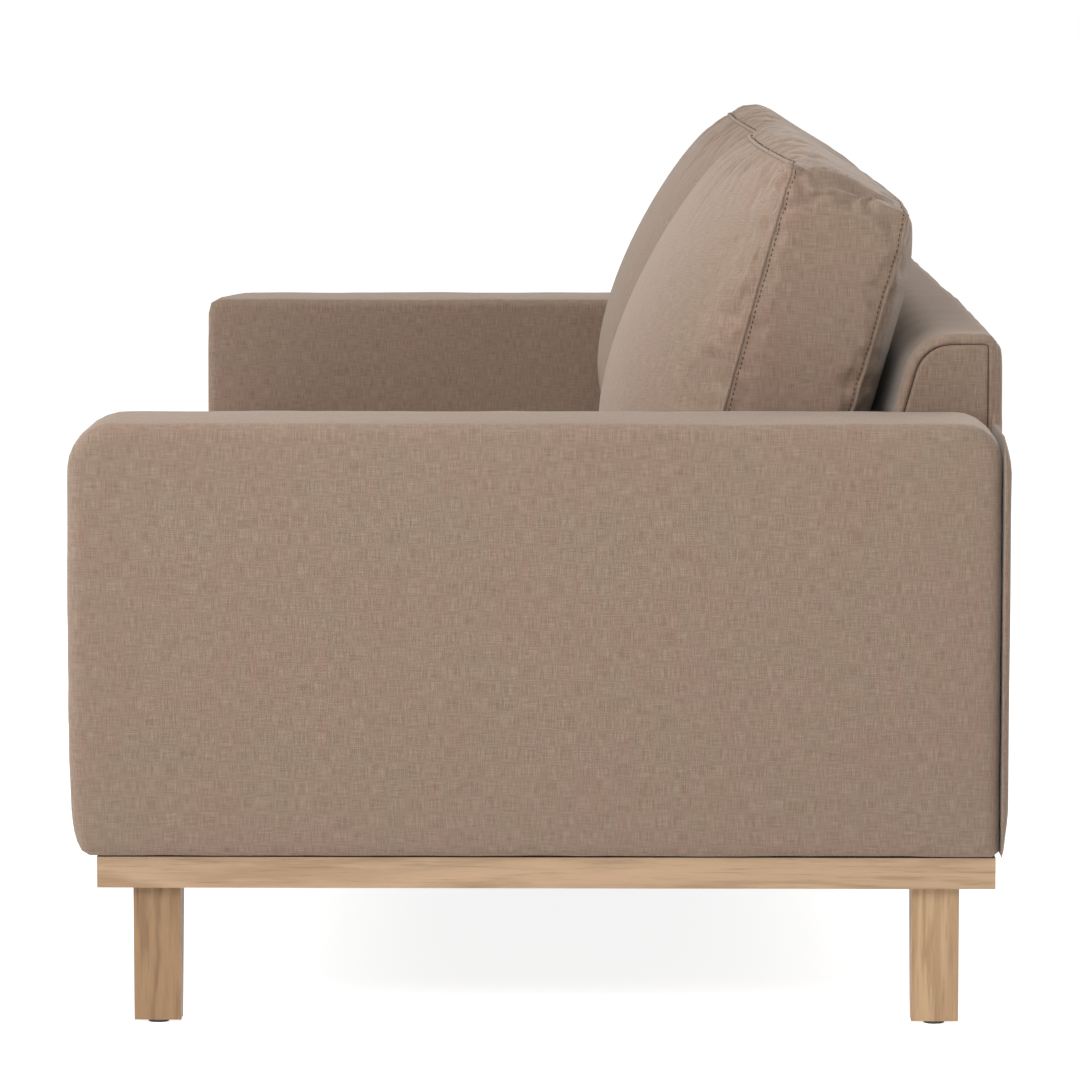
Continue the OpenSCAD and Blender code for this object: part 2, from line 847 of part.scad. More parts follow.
module back_cushion_core(side) {
    color(foam_colour) at_back_cushion(side) back_cushion_form(cover_t + layer_gap);
}

module seat_cushion_left_cover() seat_cushion_cover(-1);
module seat_cushion_left_core() seat_cushion_core(-1);
module seat_cushion_left_zip() at_seat_zip(-1) zip(zip_l);
module seat_cushion_left_zip_slider() at_seat_zip(-1) zip_slider(zip_l);
module seat_cushion_right_cover() seat_cushion_cover(1);
module seat_cushion_right_core() seat_cushion_core(1);
module seat_cushion_right_zip() at_seat_zip(1) zip(zip_l);
module seat_cushion_right_zip_slider() at_seat_zip(1) zip_slider(zip_l);
module back_cushion_left_cover() back_cushion_cover(-1);
module back_cushion_left_core() back_cushion_core(-1);
module back_cushion_left_zip() at_back_zip(-1) zip(zip_l);
module back_cushion_left_zip_slider() at_back_zip(-1) zip_slider(zip_l);
module back_cushion_right_cover() back_cushion_cover(1);
module back_cushion_right_core() back_cushion_core(1);
module back_cushion_right_zip() at_back_zip(1) zip(zip_l);
module back_cushion_right_zip_slider() at_back_zip(1) zip_slider(zip_l);

leg_front_left();
leg_front_right();
leg_rear_left();
leg_rear_right();
leg_glides();
leg_bolts();
base_rail_left();
base_rail_right();
base_rail_front();
base_rail_rear();
base_dowels();
base_bolts();
dust_cover();
seat_frame_front();
seat_frame_rear();
seat_frame_left();
seat_frame_right();
seat_frame_centre();
spring_rail();
seat_springs();
spring_clips();
seat_deck();
front_rail_cover();
arm_left_cover();
arm_left_foam();
arm_left_front_post();
arm_left_rear_post();
arm_left_top_rail();
arm_left_panels();
arm_right_cover();
arm_right_foam();
arm_right_front_post();
arm_right_rear_post();
arm_right_top_rail();
arm_right_panels();
arm_bolts();
backrest_cover();
backrest_foam();
back_top_rail();
back_bottom_rail();
back_post_left();
back_post_right();
back_webbing();
rear_panel();
seat_cushion_left_cover();
seat_cushion_left_core();
seat_cushion_left_zip();
seat_cushion_left_zip_slider();
seat_cushion_right_cover();
seat_cushion_right_core();
seat_cushion_right_zip();
seat_cushion_right_zip_slider();
back_cushion_left_cover();
back_cushion_left_core();
back_cushion_left_zip();
back_cushion_left_zip_slider();
back_cushion_right_cover();
back_cushion_right_core();
back_cushion_right_zip();
back_cushion_right_zip_slider();
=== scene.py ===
import math
import random

import bmesh
import bpy
import numpy as np
from mathutils import Matrix, Vector, kdtree
from mathutils.bvhtree import BVHTree


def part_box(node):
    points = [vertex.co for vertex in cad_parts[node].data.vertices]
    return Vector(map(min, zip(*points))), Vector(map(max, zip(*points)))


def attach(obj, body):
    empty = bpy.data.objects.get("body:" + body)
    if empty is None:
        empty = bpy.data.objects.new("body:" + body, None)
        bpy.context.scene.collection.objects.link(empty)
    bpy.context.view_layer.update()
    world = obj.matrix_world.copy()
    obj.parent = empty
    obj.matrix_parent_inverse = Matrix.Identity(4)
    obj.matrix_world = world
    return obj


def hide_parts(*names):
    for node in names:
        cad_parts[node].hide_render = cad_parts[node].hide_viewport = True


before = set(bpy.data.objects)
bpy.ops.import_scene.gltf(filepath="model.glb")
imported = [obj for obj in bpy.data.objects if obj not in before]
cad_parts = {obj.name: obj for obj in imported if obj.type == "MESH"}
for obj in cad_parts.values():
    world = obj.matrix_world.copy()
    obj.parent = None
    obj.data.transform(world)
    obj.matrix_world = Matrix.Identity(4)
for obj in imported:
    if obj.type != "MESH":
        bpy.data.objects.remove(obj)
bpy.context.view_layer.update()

# The design's own values, in metres and radians, as the CAD model has them
SEAT_FRONT_Y = -0.440
DECK_FRONT_Z = 0.275
SEAT_RAKE = math.radians(3)
SEAT_T = 0.150
BACK_FROM_FRONT = 0.573
REST_GAP = 0.0005
BACK_LEAN = math.radians(17.5)
BACKREST_SLOPE = math.radians(15.5)
BACKREST_FACE_Y = 0.345
CUSHION_W = 0.824
CUSHION_X = 0.414
SEAT_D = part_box("seat_cushion_left_zip")[1].y
ZIP_L = 0.600
BACK_ZIP_H = 0.090
BACK_REAR = 0.128

ARM_LOW, ARM_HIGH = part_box("arm_right_cover")
BACKREST_LOW, BACKREST_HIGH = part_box("backrest_cover")
PANEL_LOW, PANEL_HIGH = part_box("rear_panel")
APRON_LOW, APRON_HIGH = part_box("front_rail_cover")


# ---------- small helpers ----------

def smooth(t):
    t = np.clip(t, 0, 1)
    return t * t * (3 - 2 * t)


def ripple(seed, length, terms=5):
    """A smooth irregular wave of one variable, about `length` long and from -1 to 1."""
    rng = random.Random(seed)
    parts = [(rng.uniform(0.55, 1.7) / length, rng.uniform(0, 2 * math.pi)) for _ in range(terms)]

    def value(s):
        return sum(np.sin(2 * math.pi * f * s + p) for f, p in parts) / terms * 1.6
    return value


def field(seed, size, terms=9):
    """A smooth irregular field over points, with features about `size` across."""
    rng = random.Random(seed)
    waves = []
    for _ in range(terms):
        k = Vector((rng.gauss(0, 1), rng.gauss(0, 1), rng.gauss(0, 1))).normalized()
        k *= 2 * math.pi * rng.uniform(0.6, 1.5) / size
        waves.append((np.array(k), rng.uniform(0, 2 * math.pi)))

    def value(points):
        return sum(np.sin(points @ k + p) for k, p in waves) / terms * 1.8
    return value


def make_object(name, points, faces):
    mesh = bpy.data.meshes.new(name)
    mesh.from_pydata([tuple(p) for p in points], [], faces)
    bm = bmesh.new()
    bm.from_mesh(mesh)
    bmesh.ops.remove_doubles(bm, verts=bm.verts, dist=1e-5)
    bmesh.ops.recalc_face_normals(bm, faces=bm.faces)
    bm.to_mesh(mesh)
    bm.free()
    mesh.shade_smooth()
    obj = bpy.data.objects.new(name, mesh)
    bpy.context.scene.collection.objects.link(obj)
    return obj


def coords(obj):
    out = np.empty(len(obj.data.vertices) * 3)
    obj.data.vertices.foreach_get("co", out)
    return out.reshape(-1, 3)


def normals(obj):
    out = np.empty(len(obj.data.vertices) * 3)
    obj.data.vertices.foreach_get("normal", out)
    return out.reshape(-1, 3)


def set_coords(obj, points):
    obj.data.vertices.foreach_set("co", np.asarray(points, float).ravel())
    obj.data.update()


def stitch_rings(count, size):
    """Quads between `count` closed rings of `size` points each."""
    return [
        (r * size + i, r * size + (i + 1) % size, (r + 1) * size + (i + 1) % size, (r + 1) * size + i)
        for r in range(count - 1) for i in range(size)
    ]


def arc(cx, cy, r, start, end, steps=10):
    return [
        (cx + r * math.cos(math.radians(a)), cy + r * math.sin(math.radians(a)))
        for a in np.linspace(start, end, steps + 1)
    ]


def resample(points, step, closed=True):
    """The same line with evenly spaced points."""
    pts = np.array(points, float)
    if closed:
        pts = np.vstack([pts, pts[:1]])
    lengths = np.r_[0, np.cumsum(np.linalg.norm(np.diff(pts, axis=0), axis=1))]
    count = max(8, int(lengths[-1] / step))
    at = np.linspace(0, lengths[-1], count, endpoint=not closed)
    return np.stack([np.interp(at, lengths, pts[:, k]) for k in range(pts.shape[1])], axis=1)


def outward(line):
    """Unit normals of a closed counter-clockwise outline."""
    t = np.roll(line, -1, axis=0) - np.roll(line, 1, axis=0)
    n = np.stack([t[:, 1], -t[:, 0]], axis=1)
    return n / np.linalg.norm(n, axis=1)[:, None]


# ---------- upholstered forms ----------

def edge_profile(r, steps=7):
    """Inset and depth below the end face along a rounded edge, from the wall to the face."""
    return [(r * (1 - math.cos(a)), r * (1 - math.sin(a))) for a in np.linspace(0, math.pi / 2, steps)]


def pillow(name, outline, axis, low, high, ends, crowns, side_crown=0.0, step=0.010, wall_step=0.016,
           middle=None):
    """A closed padded form: an outline swept along an axis, with rounded ends that crown outwards.
    ends are the two edge profiles, crowns the two faces' swell, and middle the line that faces close on."""
    line = resample(outline, step)
    out = outward(line)
    lo2, hi2 = line.min(0), line.max(0)
    half = (hi2 - lo2).min() / 2
    spine = np.clip(line, lo2 + half, hi2 - half) if middle is None else middle(line)
    rings = []

    def inwards(inset):
        return np.clip(line - out * inset, lo2 + inset, hi2 - inset)

    def face_rings(end, crown, sign):
        depth, made = (low if sign < 0 else high), []
        inset, h = end[-1]
        for t in np.linspace(0, 1, 16)[1:]:
            flat = inwards(inset) * (1 - t) + spine * t
            spread = 2 * (flat - lo2) / (hi2 - lo2) - 1
            swell = crown * np.prod(1 - np.abs(spread) ** 4, axis=1)
            made.append((flat, depth + sign * (swell - h)))
        return made

    def edge_rings(end, sign):
        return [(inwards(d), (low if sign < 0 else high) - sign * h) for d, h in end]

    rings += list(reversed(face_rings(ends[0], crowns[0], -1)))
    rings += list(reversed(edge_rings(ends[0], -1)))
    first, last = low + ends[0][0][1], high - ends[1][0][1]
    count = max(2, int((last - first) / wall_step))
    for s in np.linspace(-1, 1, count + 1)[1:-1]:
        swell = side_crown * (1 - abs(s) ** 3)
        rings.append((line + out * swell, (first + last) / 2 + s * (last - first) / 2))
    rings += edge_rings(ends[1], 1)
    rings += face_rings(ends[1], crowns[1], 1)

    points = []
    for flat, depth in rings:
        columns = [flat[:, 0], flat[:, 1]]
        columns.insert(axis, np.zeros(len(flat)) + depth)
        points.append(np.stack(columns, axis=1))
    return make_object(name, np.vstack(points), stitch_rings(len(rings), len(line)))


def roughen(obj, seed, size, height):
    """Gives taut fabric its slight unevenness."""
    p = coords(obj)
    set_coords(obj, p + normals(obj) * (field(seed, size)(p) * height)[:, None])


def tube(name, path, r, closed=False, sides=8, flat=1.0, up=(0, 0, 1)):
    """A round or flattened tube along a path of points."""
    path = np.asarray(path, float)
    n = len(path)
    if closed:
        tangent = np.roll(path, -1, axis=0) - np.roll(path, 1, axis=0)
    else:
        tangent = np.gradient(path, axis=0)
    tangent /= np.linalg.norm(tangent, axis=1)[:, None]
    side = np.cross(tangent, np.array(up, float))
    side /= np.maximum(np.linalg.norm(side, axis=1), 1e-9)[:, None]
    lift = np.cross(side, tangent)
    rings = []
    for k in range(n):
        for a in np.linspace(0, 2 * math.pi, sides, endpoint=False):
            rings.append(path[k] + side[k] * math.cos(a) * r + lift[k] * math.sin(a) * r * flat)
    faces = stitch_rings(n, sides)
    if closed:
        faces += [(((n - 1) * sides + i), ((n - 1) * sides + (i + 1) % sides), (i + 1) % sides, i)
                  for i in range(sides)]
    else:
        faces += [tuple(range(sides)), tuple(range((n - 1) * sides, n * sides))]
    return make_object(name, rings, faces)


# ---------- arms, backrest, rear panel, front rail ----------

def arm_outline():
    """The arm seen from the side: round upper corners, a soft front and an underside tucked in."""
    y0, y1 = ARM_LOW.y + 0.002, ARM_HIGH.y - 0.0005
    z0, z1 = ARM_LOW.z + 0.0006, ARM_HIGH.z - 0.001
    front_r, rear_r, hem = 0.044, 0.036, 0.005
    tuck, tuck_h, swell = 0.013, 0.016, 0.001
    line = [(y0 + tuck + hem, z0), (y1 - hem, z0)]
    line += arc(y1 - hem, z0 + hem, hem, -90, 0, 4)
    line += arc(y1 - rear_r, z1 - rear_r, rear_r, 0, 90, 12)
    line += arc(y0 + front_r, z1 - front_r, front_r, 90, 180, 14)
    for z in np.linspace(z1 - front_r, z0 + 0.002, 40)[1:]:
        t = (z - z0) / (z1 - z0)
        line.append((y0 - swell * math.sin(math.pi * t) + tuck * math.exp(-(z - z0) / tuck_h), z))
    return line


def sharpen_inner_corner(arm):
    """Squares an arm's front upper corner towards its inner side, where the fabric is folded tighter."""
    p = coords(arm)
    r = 0.044
    cy, cz = ARM_LOW.y + 0.002 + r, ARM_HIGH.z - 0.001 - r
    a, b = ((cy - p[:, 1]) / r).clip(0), ((p[:, 2] - cz) / r).clip(0)
    inner = smooth((ARM_HIGH.x - np.abs(p[:, 0])) / (ARM_HIGH.x - ARM_LOW.x) * 1.2 - 0.2)
    n = 2 + 4.5 * inner
    with np.errstate(divide="ignore", invalid="ignore"):
        grow = np.where((a > 0) & (b > 0), np.hypot(a, b) / (a ** n + b ** n) ** (1 / n), 1.0)
    p[:, 1] = np.where(grow > 1, cy - a * r * grow, p[:, 1])
    p[:, 2] = np.where(grow > 1, cz + b * r * grow, p[:, 2])
    set_coords(arm, p)


def arm_upholstery(side):
    word = "left" if side < 0 else "right"
    outer, inner = edge_profile(0.015), edge_profile(0.010)
    if side > 0:
        low, high, ends, crowns = ARM_LOW.x + 0.0015, ARM_HIGH.x - 0.002, (inner, outer), (0.0, 0.004)
    else:
        low, high, ends, crowns = -ARM_HIGH.x + 0.002, -ARM_LOW.x - 0.0015, (outer, inner), (0.004, 0.0)
    arm = pillow(f"arm_{word}_upholstery", arm_outline(), 0, low, high, ends, crowns, side_crown=0.0015)
    if side < 0:
        sharpen_inner_corner(arm)
    roughen(arm, 11 + side, 0.16, 0.0007)
    roughen(arm, 21 + side, 0.05, 0.00025)
    return arm


def backrest_outline(grow=0.0):
    """The backrest seen from its end, leaning back, with a large front and a small rear rounding."""
    z0, z1 = BACKREST_LOW.z + 0.001, BACKREST_HIGH.z + grow
    front_r, rear_r = 0.045 + grow, 0.013
    rear = BACKREST_HIGH.y + 0.006
    slope = math.tan(BACKREST_SLOPE)

    def face(z):
        return BACKREST_FACE_Y + (z - ARM_HIGH.z) * slope
    mid = (face(z1 - front_r) + front_r / math.cos(BACKREST_SLOPE), z1 - front_r)
    line = [(rear, z0)]
    line += arc(rear - rear_r, z1 - rear_r, rear_r, 0, 90, 6)
    line += arc(*mid, front_r, 90, 180 - math.degrees(BACKREST_SLOPE), 12)
    line += [(face(z0), z0)]
    return line


def backrest_middle(line):
    """The line halfway between the backrest's leaning face and its rear."""
    z = np.clip(line[:, 1], BACKREST_LOW.z + 0.06, BACKREST_HIGH.z - 0.045)
    face = BACKREST_FACE_Y + (z - ARM_HIGH.z) * math.tan(BACKREST_SLOPE)
    return np.column_stack([(face + BACKREST_HIGH.y) / 2, z])


def backrest_upholstery():
    half = BACKREST_HIGH.x - 0.0008
    seam = [(0.0088, 0.0012), (0.0098, 0.0018), (0.0108, 0.0010), (0.0125, 0.0001)]
    end = edge_profile(0.008, 6) + seam
    back = pillow("backrest_upholstery", backrest_outline(0.001), 0, -half, half, (end, end),
                  (0.0, 0.0), side_crown=0.003, step=0.008, wall_step=0.020, middle=backrest_middle)
    roughen(back, 31, 0.12, 0.0010)
    return back


def backrest_end_seam_shade(side):
    """A thin dark thread line in the groove of the seam between the backrest's end panel and its boxing;
    its dark colour is painted shade of the groove.
    """
    line = resample(backrest_outline(0.001), 0.006)
    line = line - outward(line) * 0.0098
    keep = line[line[:, 1] > ARM_HIGH.z - 0.03]
    order = np.argsort(np.arctan2(keep[:, 1] - 0.56, keep[:, 0] - 0.40))
    keep = keep[order]
    x = side * (BACKREST_HIGH.x - 0.0008 - 0.0014)
    path = np.column_stack([np.full(len(keep), x), keep])
    return tube(f"backrest_end_seam_shade_{'left' if side < 0 else 'right'}", path, 0.0005, up=(1, 0, 0), sides=6)


def rear_panel_outline():
    """The rear panel seen from behind: as wide as the sofa up to the arms, then only the backrest."""
    w, z0, z1 = PANEL_HIGH.x - 0.001, PANEL_LOW.z + 0.0008, ARM_HIGH.z - 0.014
    top, inner, r = PANEL_HIGH.z - 0.008, BACKREST_HIGH.x - 0.003, 0.024
    right = [(w - 0.005, z0)] + arc(w - 0.005, z0 + 0.005, 0.005, -90, 0, 3)
    right += arc(w - 0.030, z1 - 0.030, 0.030, 0, 90, 8)
    right += arc(inner + 0.006, z1 + 0.006, 0.006, -90, -180, 4)
    right += arc(inner - r, top - r, r, 0, 90, 8)
    return right + [(-x, z) for x, z in reversed(right)]


def rear_panel_upholstery():
    low, high = PANEL_LOW.y + 0.0003, PANEL_HIGH.y
    panel = pillow("rear_panel_upholstery", rear_panel_outline(), 1, low, high,
                   (edge_profile(0.0015, 3), edge_profile(0.008)), (0.0, 0.001), side_crown=0.0,
                   step=0.012, wall_step=0.003)
    p = coords(panel)
    h = (p[:, 2] - PANEL_LOW.z) / (ARM_HIGH.z - PANEL_LOW.z)
    outer = smooth((p[:, 1] - low) / (high - low))
    beside = np.abs(p[:, 0]) > BACKREST_HIGH.x + 0.004
    sweep = -0.004 * (1 - smooth(h / 0.12)) - beside * (0.0025 + 0.0065 * smooth((h - 0.88) / 0.12))
    p[:, 1] += outer * sweep
    set_coords(panel, p)
    roughen(panel, 41, 0.20, 0.0008)
    return panel


def front_rail_upholstery():
    half, low, high = APRON_HIGH.x - 0.0008, APRON_LOW.z + 0.0006, APRON_HIGH.z - 0.0003
    r = 0.006
    line = [(-half, low + r)]
    line += arc(-half + r, low + r, r, 180, 270, 4)
    line += arc(half - r, low + r, r, 270, 360, 4)
    line += [(half, high), (-half, high)]
    rail = pillow("front_rail_upholstery", line, 1, APRON_LOW.y, APRON_HIGH.y - 0.0004,
                  (edge_profile(0.006), edge_profile(0.002, 3)), (0.003, 0.0), step=0.012, wall_step=0.004)
    roughen(rail, 51, 0.10, 0.0005)
    return rail


# ---------- cushions ----------

def on_seat():
    """The seat's frame: Y back along its slope, Z square to it."""
    return Matrix.Translation((0, SEAT_FRONT_Y, DECK_FRONT_Z)) @ Matrix.Rotation(-SEAT_RAKE, 4, "X")


def on_back():
    """A back cushion's frame: Z up along its lean from its lower front seam."""
    return on_seat() @ Matrix.Translation((0, BACK_FROM_FRONT, SEAT_T + REST_GAP)) \
        @ Matrix.Rotation(-(BACK_LEAN - SEAT_RAKE), 4, "X")


SEAT_ANGLE = BACK_LEAN - SEAT_RAKE


def side_points(a, b, crown, count, shape):
    """Points from a to b, swollen square to the line by crown times shape(t); b is left out."""
    a, b = np.array(a), np.array(b)
    along = (b - a) / np.linalg.norm(b - a)
    out = np.array([-along[1], along[0]])
    t = np.linspace(0, 1, count, endpoint=False)
    return a + (b - a) * t[:, None] + out * (crown * shape(t))[:, None]


def low_crown(t):
    """A swell that is fullest below the middle."""
    return np.sin(np.pi * t ** 0.75).clip(0) ** 0.7


def even_crown(t):
    return np.sin(np.pi * t).clip(0) ** 0.65


def front_crown(t):
    """A swell that is fullest near its start and slopes away behind."""
    rise = np.sin(np.clip(t / 0.2, 0, 1) * math.pi / 2).clip(0) ** 0.8
    return rise * (1 - np.clip((t - 0.2) / 0.8, 0, 1)) ** 1.4


def flat_crown(t):
    return (1 - np.abs(2 * t - 1) ** 5).clip(0) ** 0.6


def back_corners(u):
    """The seam corners of a back cushion's section at u, from -1 to 1 across its width."""
    mid = (1 - abs(u) ** 2.6) ** 0.75
    pinch = smooth((abs(u) - 0.86) / 0.14)
    slope = math.tan(SEAT_ANGLE)
    fb_y = -0.005 - 0.030 * mid
    return {
        "fb": (fb_y, fb_y * slope + 0.0015),
        "ft": (-0.006 - 0.050 * mid - 0.021 * pinch, 0.431 + 0.004 * mid + 0.002 * pinch),
        "rt": (0.096, 0.421 + 0.006 * mid),
        "rb": (0.104, 0.104 * slope + 0.0015),
    }


def back_section(u):
    c = back_corners(u)
    mid = (1 - abs(u) ** 2.8) ** 0.62
    rows = [
        side_points(c["fb"], c["ft"], 0.004 + 0.076 * mid, 64, low_crown),
        side_points(c["ft"], c["rt"], -0.004 + 0.027 * mid, 24, front_crown),
        side_points(c["rt"], c["rb"], 0.003 + 0.021 * (1 - abs(u) ** 6), 56, flat_crown),
        side_points(c["rb"], c["fb"], 0.0, 18, even_crown),
    ]
    return np.vstack(rows)


def seat_section(u):
    """A seat cushion's section: a box with a crowned top, tucked in a little at its seams."""
    mid = (1 - abs(u) ** 6) ** 0.8
    top = SEAT_T - 0.006
    rows = [
        side_points((0.006, 0.004), (0.004, top), 0.002 + 0.007 * mid, 22, even_crown),
        side_points((0.004, top), (SEAT_D_LOCAL - 0.002, top), 0.001 + 0.010 * mid, 90, flat_crown),
        side_points((SEAT_D_LOCAL - 0.002, top), (SEAT_D_LOCAL - 0.004, 0.004), 0.0015, 22, flat_crown),
        side_points((SEAT_D_LOCAL - 0.004, 0.004), (0.006, 0.004), 0.002, 90, flat_crown),
    ]
    return np.vstack(rows)


SEAT_D_LOCAL = (SEAT_D - SEAT_FRONT_Y - math.sin(SEAT_RAKE) * SEAT_T / 2) / math.cos(SEAT_RAKE)


def loft(name, section, half_w, count, end_crown, spine):
    """A cushion lofted across its width, its two ends closed by slightly swollen panels."""
    ease = np.sin(np.linspace(-1, 1, count) * math.pi / 2)
    us = 0.35 * np.linspace(-1, 1, count) + 0.65 * ease
    loops = [np.column_stack([np.full(len(section(u)), u * half_w), section(u)]) for u in us]

    def end(loop, sign):
        centre = spine(loop[:, 1:])
        made = []
        for t in np.linspace(0, 1, 12)[1:]:
            flat = loop[:, 1:] * (1 - t) + centre * t
            x = loop[:, 0] + sign * end_crown * (1 - (1 - t) ** 2.2)
            made.append(np.column_stack([x, flat]))
        return made
    loops = list(reversed(end(loops[0], -1))) + loops + end(loops[-1], 1)
    return make_object(name, np.vstack(loops), stitch_rings(len(loops), len(loops[0])))


def back_seams(half_w):
    """The front and rear seams of a back cushion, each a closed loop round its panel."""
    us = np.linspace(-1, 1, 120)
    loops = []
    for low, high, first, last in (("fb", "ft", 0, 64), ("rb", "rt", 88, 144)):
        top = [(u * half_w, *back_corners(u)[high]) for u in us]
        bottom = [(u * half_w, *back_corners(u)[low]) for u in us]
        end = back_section(1.0)[first:last]
        if first:
            end = end[::-1]
        right = [(half_w, y, z) for y, z in end[::-1]]
        left = [(-half_w, y, z) for y, z in end]
        loops.append(resample(top + right + bottom[::-1] + left, 0.004))
    return loops


def seat_seams(half_w):
    """The upper and lower seams of a seat cushion."""
    loops = []
    for z, y0, y1 in ((SEAT_T - 0.006, 0.004, SEAT_D_LOCAL - 0.002), (0.004, 0.006, SEAT_D_LOCAL - 0.004)):
        corners = [(-half_w, y0), (half_w, y0), (half_w, y1), (-half_w, y1)]
        loops.append(resample([(x, y, z) for x, y in corners], 0.004))
    return loops


def nearest(paths, points):
    """For each point, its distance to the seams and the place along them."""
    samples = [(Vector(p), 1000.0 * i + k * 0.004)
               for i, path in enumerate(paths) for k, p in enumerate(path)]
    tree = kdtree.KDTree(len(samples))
    for k, (p, _) in enumerate(samples):
        tree.insert(p, k)
    tree.balance()
    found = [tree.find(Vector(p)) for p in points]
    return np.array([f[2] for f in found]), np.array([samples[f[1]][1] for f in found])


def remeshed(obj, voxel):
    mod = obj.modifiers.new("even", "REMESH")
    mod.mode = "VOXEL"
    mod.voxel_size = voxel
    mod.use_smooth_shade = True
    graph = bpy.context.evaluated_depsgraph_get()
    mesh = bpy.data.meshes.new_from_object(obj.evaluated_get(graph))
    obj.modifiers.clear()
    obj.data = mesh


def inflate(obj, seams, voxel, pressure, spare, cap):
    """Swells the cushion as cloth held at its seams, with a little spare fabric to wrinkle."""
    remeshed(obj, voxel)
    rest = coords(obj)
    distance, _ = nearest(seams, rest)
    hold = obj.vertex_groups.new(name="hold")
    weight = 1 - smooth((distance - 0.5 * voxel) / (1.2 * voxel))
    for k in np.nonzero(weight > 0.02)[0]:
        hold.add([int(k)], float(weight[k]), "REPLACE")
    cloth = obj.modifiers.new("cloth", "CLOTH")
    s = cloth.settings
    s.quality = 3
    s.mass = 0.25
    s.tension_stiffness = 12
    s.compression_stiffness = 12
    s.shear_stiffness = 4
    s.bending_stiffness = 0.15
    s.use_pressure = True
    s.uniform_pressure_force = pressure
    s.effector_weights.gravity = 0
    s.vertex_group_mass = "hold"
    s.shrink_min = -spare
    cloth.collision_settings.use_collision = False
    cloth.collision_settings.use_self_collision = False
    scene = bpy.context.scene
    cloth.point_cache.frame_end = 20
    for f in range(1, 21):
        scene.frame_set(f)
    graph = bpy.context.evaluated_depsgraph_get()
    mesh = bpy.data.meshes.new_from_object(obj.evaluated_get(graph))
    moved = np.empty(len(mesh.vertices) * 3)
    mesh.vertices.foreach_get("co", moved)
    step = moved.reshape(-1, 3) - rest
    size = np.linalg.norm(step, axis=1)
    limit = cap * np.tanh(size / cap) / np.maximum(size, 1e-9)
    obj.modifiers.clear()
    obj.vertex_groups.clear()
    bpy.data.meshes.remove(mesh)
    scene.frame_set(1)
    set_coords(obj, rest + step * limit[:, None])


def subdivided(obj):
    mod = obj.modifiers.new("fine", "SUBSURF")
    mod.levels = mod.render_levels = 1
    graph = bpy.context.evaluated_depsgraph_get()
    mesh = bpy.data.meshes.new_from_object(obj.evaluated_get(graph))
    obj.modifiers.clear()
    obj.data = mesh
    obj.data.shade_smooth()


def gathers(obj, seams, seed, height, reach, length):
    """Small puckers that run square to the seams and fade away from them."""
    p = coords(obj)
    distance, place = nearest(seams, p)
    wave = ripple(seed, length)(place) * (0.55 + 0.45 * ripple(seed + 1, length * 6)(place))
    fade = np.exp(-distance / reach) * smooth(distance / 0.006)
    set_coords(obj, p + normals(obj) * (wave * fade * height)[:, None])


def corner_folds(obj, corners, seed, height, reach):
    """Soft folds that fan out from the cushion's corners."""
    p = coords(obj)
    n = normals(obj)
    shift = np.zeros(len(p))
    for k, corner in enumerate(corners):
        d = p - np.array(corner)
        r = np.linalg.norm(d, axis=1)
        angle = np.arctan2(d[:, 2], d[:, 0] + 0.7 * d[:, 1])
        fold = np.sin(angle * 7 + seed + 2.1 * k + 0.8 * np.sin(angle * 3 + k))
        shift += height * fold * np.exp(-r / reach) * smooth(r / 0.03)
    set_coords(obj, p + n * shift[:, None])


def keep_back_clear(p):
    """Holds a back cushion's fabric between the ends, above the seat and in front of the backrest."""
    half = CUSHION_W / 2 - 0.0008
    p[:, 0] = np.clip(p[:, 0], -half, half)
    floor = p[:, 1] * math.tan(SEAT_ANGLE) + 0.0006
    p[:, 2] = np.maximum(p[:, 2], floor)
    room = BACK_REAR - 0.0004 + 0.012 * smooth((p[:, 2] - 0.305) / 0.05)
    p[:, 1] = np.minimum(p[:, 1], room)
    near_zip = (1 - smooth((np.abs(p[:, 2] - BACK_ZIP_H) - 0.016) / 0.02)) \
        * (1 - smooth((np.abs(p[:, 0]) - 0.305) / 0.02)) * (p[:, 1] > 0.09)
    p[:, 1] += near_zip * (BACK_REAR - 0.0004 - p[:, 1])
    return p


def keep_seat_clear(p):
    """Holds a seat cushion's fabric inside its room, flat under the back cushion."""
    half = CUSHION_W / 2 - 0.0008
    p[:, 0] = np.clip(p[:, 0], -half, half)
    under = smooth((p[:, 1] - 0.30) / 0.18)
    p[:, 2] = np.clip(p[:, 2], REST_GAP + 0.0002, SEAT_T + 0.010 * (1 - under) - 0.0002)
    p[:, 1] = np.minimum(p[:, 1], SEAT_D_LOCAL - 0.0004)
    near_zip = (1 - smooth((np.abs(p[:, 2] - SEAT_T / 2) - 0.016) / 0.02)) \
        * (1 - smooth((np.abs(p[:, 0]) - 0.305) / 0.02)) * (p[:, 1] > SEAT_D_LOCAL - 0.03)
    p[:, 1] += near_zip * (SEAT_D_LOCAL - 0.0004 - p[:, 1])
    return p


